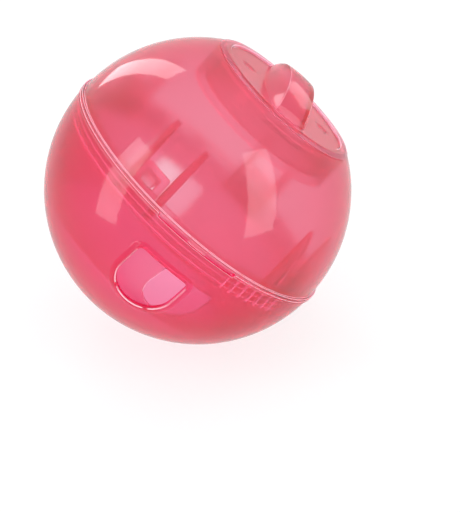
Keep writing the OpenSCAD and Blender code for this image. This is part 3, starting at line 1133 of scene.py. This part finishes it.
@dataclass
class ShutterRing(WindowedPart):
    """Ring inside the lower half with two windows and four latch tongues."""

    outer_r: float = 48.5
    inner_r: float = 46.7
    window: WindowOutline = WindowOutline(height=17.2)
    frame_low: float = -30.3
    frame_high: float = -8.4
    frame_rows: int = 30
    step: float = 1.5
    top: float = -5.7
    low: float = -31.1
    low_round: float = 0.35
    band_in_r: float = 44.763
    band_low: float = -7.3
    band_round: float = 0.4
    tongue_r: float = 46.163
    tongue_t: float = 1.4
    tongue_w: float = 10.6
    tongue_top: float = 8.6
    tongue_low: float = -6.6
    eye_w: float = 5.6
    eye_low: float = 2.2
    eye_top: float = 6.4

    def profile(self) -> Array:
        """Closed profile: up the outer wall, over the band at the top and down the inner wall.

        Returns:
            Array of (radius, height) points.
        """
        inside = self.frame_heights()
        z_out = np.concatenate([[self.low], inside, [-7.6, self.top]])
        z_in = np.concatenate([inside[::-1], [self.low]])
        band_r = ball_width(self.inner_r, self.band_low)
        points = np.concatenate(
            [
                np.stack([ball_width(self.outer_r, z_out), z_out], axis=-1),
                [(self.band_in_r, self.top), (self.band_in_r, self.band_low), (band_r, self.band_low)],
                np.stack([ball_width(self.inner_r, z_in), z_in], axis=-1),
            ]
        )
        rounds = np.zeros(len(points))
        rounds[[0, -1]] = self.low_round
        rounds[len(z_out) - 1 : len(z_out) + 3] = self.band_round
        return softened(points, rounds, closed=True)

    def tongue(self) -> Array:
        """Tongue at -Y: a plate with a square hole, as a rounded section carried around the hole.

        Returns:
            Grid of points, closed both ways.
        """

        def outline(half: float, low: float, high: float, corner: float) -> Array:
            """Rectangle with soft corners, by angle from its middle."""
            shape = np.array([(-half, low), (half, low), (half, high), (-half, high)])
            return softened(shape, [corner] * 4, steps=6, closed=True)

        outer = outline(self.tongue_w / 2, self.tongue_low, self.tongue_top, 1.2)
        inner = outline(self.eye_w / 2, self.eye_low, self.eye_top, 0.5)
        middle = np.array([0.0, (self.eye_low + self.eye_top) / 2])
        ray = np.unique(np.concatenate([np.arctan2(*(line - middle).T[::-1]) for line in (outer, inner)]))

        def along(line: Array) -> Array:
            """Points of a line on the rays."""
            on = np.roll(line, -1, axis=0) - line
            spun = np.concatenate([line + on * s for s in np.linspace(0.0, 0.96, 25)])
            at = np.arctan2(*(spun - middle).T[::-1])
            order = np.argsort(at)
            places = [np.interp(ray, at[order], spun[order, k], period=2 * math.pi) for k in range(2)]
            return np.stack(places, axis=-1)

        rim, hole = along(outer), along(inner)
        half = np.array([0.0, 0.06, 0.5, 0.94, 1.0])
        share = np.concatenate([half, half[::-1]])[:, None, None]
        bevel = np.array([0.2, 0.0, 0.0, 0.0, 0.2])
        depth = np.concatenate([self.tongue_r - bevel, self.tongue_r - self.tongue_t + bevel])
        plane = hole[None] * (1 - share) + rim[None] * share
        return np.stack(np.broadcast_arrays(plane[..., 0], -depth[:, None], plane[..., 1]), axis=-1)

    def build(self) -> bpy.types.Object:
        """Make the shutter ring.

        Returns:
            The dressed piece.
        """
        angles = self.frame.wall_columns(self.step, [])
        line = self.profile()
        hole = self.frame.hole(angles, np.append(line[:, 1], line[0, 1]), self.frame_low, self.frame_high)
        wall = polar(line[:, None, 0], angles[None], line[:, None, 1])
        skin = Skin()
        skin.add(wall, closed_rows=True, closed_cols=True, keep=~hole)
        outer = (SOFT_CUT * (1.0, -1.0) + (0.0, self.outer_r))[::-1]
        inner = SOFT_CUT + (0.0, self.inner_r)
        middle = [(0.0, (self.outer_r + self.inner_r) / 2)]
        self.add_windows(skin, angles, np.concatenate([outer, middle, inner]))
        for latch in LATCHES:
            skin.add(turned(self.tongue(), latch), closed_rows=True, closed_cols=True)
        return self.dress(skin.made("shutter_ring_clear"))


@dataclass
class Lid(Part):
    """Lid with finger wells, hollow grip bar, flange, plug and bayonet lugs."""

    grip_angle: float = -9.0
    flange_low: float = 42.568
    flange_high: float = 43.568
    well_r: float = 23.8
    well_round: float = 0.35
    well_z: float = 42.968
    plate_t: float = 1.8
    plug_r: float = 24.9
    plug_in_r: float = 23.3
    plug_low: float = 31.768
    cap_r: float = 50.9
    crest_r: float = 38.0
    crest_top: float = 51.5
    crest_half: float = 4.9
    grip_foot: float = 22.03
    flank_slope: float = 25.0
    grip_wall: float = 1.8
    slot_half: float = 2.2
    slot_w: float = 1.2
    dimple_x: float = 16.0
    dimple_r: float = 2.5
    dimple_depth: float = 0.4
    lug_angle: float = -8.0
    lug_half: float = 16.77
    lug_r: float = 26.0
    lug_top: float = 39.718
    lug_h: float = 1.8

    def bar(self, x: Array, y: Array, inset: float, k: float) -> Array:
        """Height of the grip bar: the lowest of its round crest, its leaning flanks and its leaning ends.

        Args:
            x: places across the bar.
            y: places along the bar.
            inset: distance inside the outer form.
            k: blend between the faces.

        Returns:
            Heights.
        """
        slope = math.tan(math.radians(self.flank_slope))
        flank_r = self.crest_r / math.sin(math.radians(self.flank_slope))
        bulge = y**2 / (2 * flank_r * math.cos(math.radians(self.flank_slope)))
        crest = self.crest_top - self.crest_r + np.sqrt((self.crest_r - inset) ** 2 - x**2 - y**2)
        flank = self.crest_top - (np.sqrt(x**2 + 0.04) - self.crest_half + inset + bulge) / slope
        end = self.well_z + (self.grip_foot - inset - np.abs(y)) / slope
        return soft_low(soft_low(crest, flank, k), end, k)

    def faces(self) -> tuple[Array, Array, Array]:
        """Upper and lower face over one net of lines: x at set columns, y a share of the chord there.

        The lines lie close together where the bar's flanks, its ends and the foot slots turn sharply.

        Returns:
            Upper points, lower points and the quads that the foot slots take out.
        """
        bar_side = [
            [0.0, 0.8, 1.6, self.slot_half - 0.04, self.slot_half + 0.04, 2.7],
            np.linspace(3.2, 4.7, 6),
            np.linspace(4.8, 5.6, 9),
            np.linspace(5.8, 9.8, 16),
        ]
        wells = self.well_r * np.sin(np.linspace(math.asin(10.2 / self.well_r), math.pi / 2, 26))
        half = np.unique(np.concatenate([*bar_side, wells]))
        x = np.concatenate([-half[:0:-1], half])
        low, high = self.grip_foot / self.well_r, (self.grip_foot + self.slot_w) / self.well_r
        slot_ends = [end + s * 0.0015 for end in (low, high) for s in (-1, 1)]
        shares = [np.linspace(0.0, 0.72, 16), np.linspace(0.74, low - 0.004, 20), slot_ends, [0.99, 1.0]]
        q_half = np.unique(np.concatenate(shares))
        q = np.concatenate([-q_half[:0:-1], q_half])
        gx, gq = np.meshgrid(x, q)
        gy = gq * np.sqrt(np.maximum(self.well_r**2 - gx**2, 0.0))
        from_axis = np.hypot(gx, gy)
        rise = smooth_step(from_axis, self.well_r - self.well_round, self.well_r + self.well_round)
        dimple = np.hypot(np.abs(gx) - self.dimple_x, gy)
        sunk = 1 - smooth_step(dimple, self.dimple_r - 0.8, self.dimple_r + 0.1)
        plate = self.well_z + (self.flange_high - self.well_z) * rise - self.dimple_depth * sunk
        top = soft_high(plate, self.bar(gx, gy, 0.0, 0.45), 0.6)
        scale = self.plug_in_r / self.well_r
        floor = np.full_like(gx, self.well_z - self.plate_t)
        below = soft_high(floor, self.bar(gx * scale, gy * scale, self.grip_wall, 1.0), 0.5)
        below = np.where(from_axis > self.well_r - 0.01, floor, np.minimum(below, top - 0.6))
        mid_q, mid_x = (q[:-1] + q[1:]) / 2, (x[:-1] + x[1:]) / 2
        rows = (np.abs(mid_q) > low) & (np.abs(mid_q) < high)
        slot = rows[:, None] & (np.abs(mid_x) < self.slot_half)[None]
        return np.stack([gx, gy, top], axis=-1), np.stack([gx * scale, gy * scale, below], axis=-1), slot

    def build(self) -> bpy.types.Object:
        """Make the lid.

        Returns:
            The dressed piece.
        """
        top, below, slot = self.faces()
        skin = Skin()
        skin.add(top, keep=~slot)
        skin.add(below, keep=~slot)
        rows, cols = np.nonzero(slot)
        for near in (rows < len(slot) / 2, rows > len(slot) / 2):
            i, j = rows[near], cols[near]
            j, i = around(np.arange(j.min(), j.max() + 2), np.arange(i.min(), i.max() + 2))
            skin.add(np.stack([top[i, j], below[i, j]]), closed_cols=True)
        ring = np.concatenate([top[0], top[-1, -2:0:-1]])
        angle = np.degrees(np.arctan2(ring[:, 0], -ring[:, 1]))
        floor = self.well_z - self.plate_t
        corners = np.array(
            [
                (self.well_r, (self.well_z + self.flange_high) / 2),
                (self.well_r + 0.14, self.flange_high - 0.1),
                (self.well_r + self.well_round, self.flange_high),
                *ball_arc(self.cap_r, self.flange_high, self.flange_low, 5),
                (self.plug_r, self.flange_low),
                (self.plug_r, self.plug_low),
                (self.plug_in_r, self.plug_low),
                (self.plug_in_r, floor),
            ]
        )
        line = softened(corners, [0.0, 0.05, 0.05, 0.4, 0.0, 0.0, 0.0, 0.25, 0.2, 0.4, 0.4, 0.0])
        skin.add(polar(line[:, None, 0], angle[None], line[:, None, 1]), closed_cols=True)
        lug = np.array(
            [
                (self.plug_r - 0.05, self.lug_top - self.lug_h),
                (self.lug_r, self.lug_top - self.lug_h),
                (self.lug_r, self.lug_top),
                (self.plug_r - 0.05, self.lug_top),
            ]
        )
        section = softened(lug, [0.0, 0.4, 0.3, 0.0], closed=True)
        spread = np.linspace(-self.lug_half, self.lug_half, 31)
        rings = polar(section[None, :, 0], spread[:, None], section[None, :, 1])
        for side in SIDES:
            skin.add_loft(turned(rings, side + self.lug_angle - self.grip_angle))
        return self.dress(skin.made("lid_clear", self.grip_angle))


# Studio


@dataclass
class Studio:
    """Camera at the photograph's place, floor, lights and world."""

    width: int = 460
    height: int = 512
    ball_r: float = 0.051
    ball_x: float = 198.4
    ball_y: float = 190.6
    ball_px: float = 154.1
    distance: float = 0.612
    tilt: float = 15.7
    lean: float = 46.67
    facing: float = -23.3
    look_down: float = 33.0
    sensor: float = 36.0
    floor_share: float = 0.78
    surround: float = 0.55
    floor_r: float = 1.6
    floor_gap: float = 0.0003
    floor_sides: int = 96

    def axes(self) -> Matrix:
        """Camera axes in the CAD frame: columns right, up and back.

        The ball's axis is tilted towards the camera by the tilt, and leans in the picture by the lean from
        the right. The direction u is the ball's own direction that faces the camera, and v lies a quarter
        turn on.

        Returns:
            Matrix of the three columns.
        """
        t, a, f = (math.radians(x) for x in (self.tilt, self.lean, self.facing))
        axis = Vector((0.0, 0.0, 1.0))
        u = Vector((math.sin(f), -math.cos(f), 0.0))
        v = Vector((math.cos(f), math.sin(f), 0.0))
        right = axis * math.cos(t) * math.cos(a) - u * math.sin(t) * math.cos(a) + v * math.sin(a)
        up = axis * math.cos(t) * math.sin(a) - u * math.sin(t) * math.sin(a) - v * math.cos(a)
        back = axis * math.sin(t) + u * math.cos(t)
        return Matrix((right, up, back)).transposed()

    def camera(self) -> None:
        """Add the camera: the ball's middle lands on its pixel by turning the camera, with no shift."""
        focal = self.ball_px * math.sqrt((self.distance / self.ball_r) ** 2 - 1)
        data = bpy.data.cameras.new("camera")
        data.sensor_width = self.sensor
        data.lens = focal * self.sensor / max(self.width, self.height)
        data.clip_start, data.clip_end = 0.01, 50.0
        axes = self.axes()
        aim = Vector(((self.ball_x - self.width / 2) / focal, (self.height / 2 - self.ball_y) / focal, -1.0))
        swing = aim.rotation_difference(Vector((0.0, 0.0, -1.0))).to_matrix()
        camera = bpy.data.objects.new("camera", data)
        camera.matrix_world = Matrix.Translation(axes.col[2] * self.distance) @ (axes @ swing).to_4x4()
        bpy.context.scene.collection.objects.link(camera)
        bpy.context.scene.camera = camera

    def world_up(self) -> Vector:
        """Direction straight up from the floor, in the CAD frame."""
        e = math.radians(self.look_down)
        axes = self.axes()
        return (axes.col[1] * math.cos(e) + axes.col[2] * math.sin(e)).normalized()

    def seen(self, graph: Graph) -> Sock:
        """1 for the rays that show the background: from the camera, by gloss and through clear plastic.

        Args:
            graph: graph of the floor's material or of the world.

        Returns:
            The mask.
        """
        camera, gloss, through = (
            graph.node("ShaderNodeLightPath", output=f"Is {kind} Ray")
            for kind in ("Camera", "Glossy", "Transmission")
        )
        return camera + gloss + through

    def floor(self) -> None:
        """Add a round white floor that touches the ball, shown from above only."""
        up = self.world_up()
        side = up.cross(Vector((1.0, 0.0, 0.0))).normalized()
        turn = np.linspace(0.0, 2 * math.pi, self.floor_sides, endpoint=False)
        ring = np.outer(np.cos(turn), side) + np.outer(np.sin(turn), up.cross(side))
        points = np.concatenate([np.zeros((1, 3)), ring * self.floor_r])
        points = points - np.asarray(up) * (self.ball_r + self.floor_gap)
        rim = np.arange(self.floor_sides)
        faces = np.stack([0 * rim, 1 + rim, 1 + (rim + 1) % self.floor_sides], axis=-1)
        mesh = bpy.data.meshes.new("floor")
        mesh.from_pydata(points.tolist(), [], faces.tolist())
        material = bpy.data.materials.new("white_floor")
        material.use_nodes = True
        graph = Graph(material.node_tree)
        matte = graph.node("ShaderNodeBsdfDiffuse", {}, {"Color": (0.94, 0.94, 0.94, 1.0)})
        glow = graph.node("ShaderNodeEmission", {}, {"Color": (1.0, 1.0, 1.0, 1.0), "Strength": 1.0})
        share = self.seen(graph) * self.floor_share
        white = graph.node("ShaderNodeMixShader", {}, {0: share, 1: matte, 2: glow})
        clear = graph.node("ShaderNodeBsdfTransparent", {}, {})
        behind = graph.node("ShaderNodeNewGeometry", output="Backfacing")
        shown = graph.node("ShaderNodeMixShader", {}, {0: behind, 1: white, 2: clear})
        graph.node("ShaderNodeOutputMaterial", {}, {"Surface": shown})
        mesh.materials.append(material)
        floor = bpy.data.objects.new("floor", mesh)
        bpy.context.scene.collection.objects.link(floor)

    def softbox(
        self,
        name: str,
        place: Sequence[float],
        size: tuple[float, float],
        radiance: float,
        along: Sequence[float] = (1.0, 0.0, 0.0),
        mirrored: bool = True,
    ) -> None:
        """Add a rectangular light that faces the ball.

        Args:
            name: name of the light.
            place: place in camera axes, in metres from the ball's middle.
            size: width and height in metres.
            radiance: brightness of its face.
            along: direction of its width in camera axes.
            mirrored: whether gloss shows it.
        """
        data = bpy.data.lights.new(name, "AREA")
        data.shape = "RECTANGLE"
        data.size, data.size_y = size
        data.energy = radiance * math.pi * size[0] * size[1]
        light = bpy.data.objects.new(name, data)
        axes = self.axes()
        spot = axes @ Vector(place)
        back = spot.normalized()
        width = axes @ Vector(along)
        right = (width - back * width.dot(back)).normalized()
        turn = Matrix((right, back.cross(right), back)).transposed()
        light.matrix_world = Matrix.Translation(spot) @ turn.to_4x4()
        light.visible_glossy = mirrored
        bpy.context.scene.collection.objects.link(light)

    def world(self) -> None:
        """Set a plain white surround that lights gently and shows white."""
        world = bpy.data.worlds.new("studio")
        world.use_nodes = True
        graph = Graph(world.node_tree)
        strength = self.surround + self.seen(graph) * (1.0 - self.surround)
        back = graph.node("ShaderNodeBackground", {}, {"Color": (1.0, 1.0, 1.0, 1.0), "Strength": strength})
        graph.node("ShaderNodeOutputWorld", {}, {"Surface": back})
        bpy.context.scene.world = world

    def build(self) -> None:
        """Add everything around the ball."""
        bpy.context.scene.view_settings.view_transform = "Standard"
        self.camera()
        self.floor()
        self.world()
        self.softbox("sky_softbox", (0.0, 0.88, 0.57), (1.2, 1.2), 1.5, mirrored=False)
        self.softbox("left_softbox", (-0.53, 0.03, 0.30), (0.2, 0.78), 3.9, (0.41, -0.5, 0.76))
        self.softbox("right_softbox", (0.43, -0.04, 0.42), (0.23, 0.7), 3.4)
        self.softbox("top_softbox", (-0.22, 0.53, -0.26), (0.55, 0.14), 4.4, (0.21, 0.34, 0.51))
        self.softbox("lid_softbox", (0.42, 0.37, -0.24), (0.22, 0.22), 3.0)


def main() -> None:
    """Load the frame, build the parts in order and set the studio."""
    logging.basicConfig(level=logging.INFO, format="%(name)s: %(message)s")
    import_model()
    shell = ClearPlastic("upper_clear_pink", (0.92, 0.68, 0.73), (0.91, 0.63, 0.69), Deep.FINS)
    lower = ClearPlastic(
        "lower_clear_pink",
        (0.93, 0.57, 0.72),
        (0.92, 0.52, 0.68),
        Deep.CUTS,
        soak=(10.0, 275.0, 182.0),
        coat=0.6,
        # Paler painted highlight on the lower half's rounded edges
        edge=(1.0, 0.79, 0.87),
    )
    ring = ClearPlastic(
        "ring_clear_pink", (0.96, 0.76, 0.82), (0.95, 0.72, 0.79), Deep.TONGUES, deep=(0.96, 0.42, 0.58)
    )
    lid = ClearPlastic(
        "lid_clear_pink", (0.93, 0.63, 0.71), (0.92, 0.58, 0.67), coat=0.5, gloss_from=42.9, gloss_to=60.0
    )
    UpperHalf(shell, Body.UPPER, Plastic.UPPER, "upper_shell").build()
    LowerHalf(lower, Body.LOWER, Plastic.LOWER, "lower_shell").build()
    ShutterRing(ring, Body.UPPER, Plastic.RING, "shutter_ring").build()
    Lid(lid, Body.LID, Plastic.LID, "lid").build()
    Studio().build()


if __name__ == "__main__":
    main()
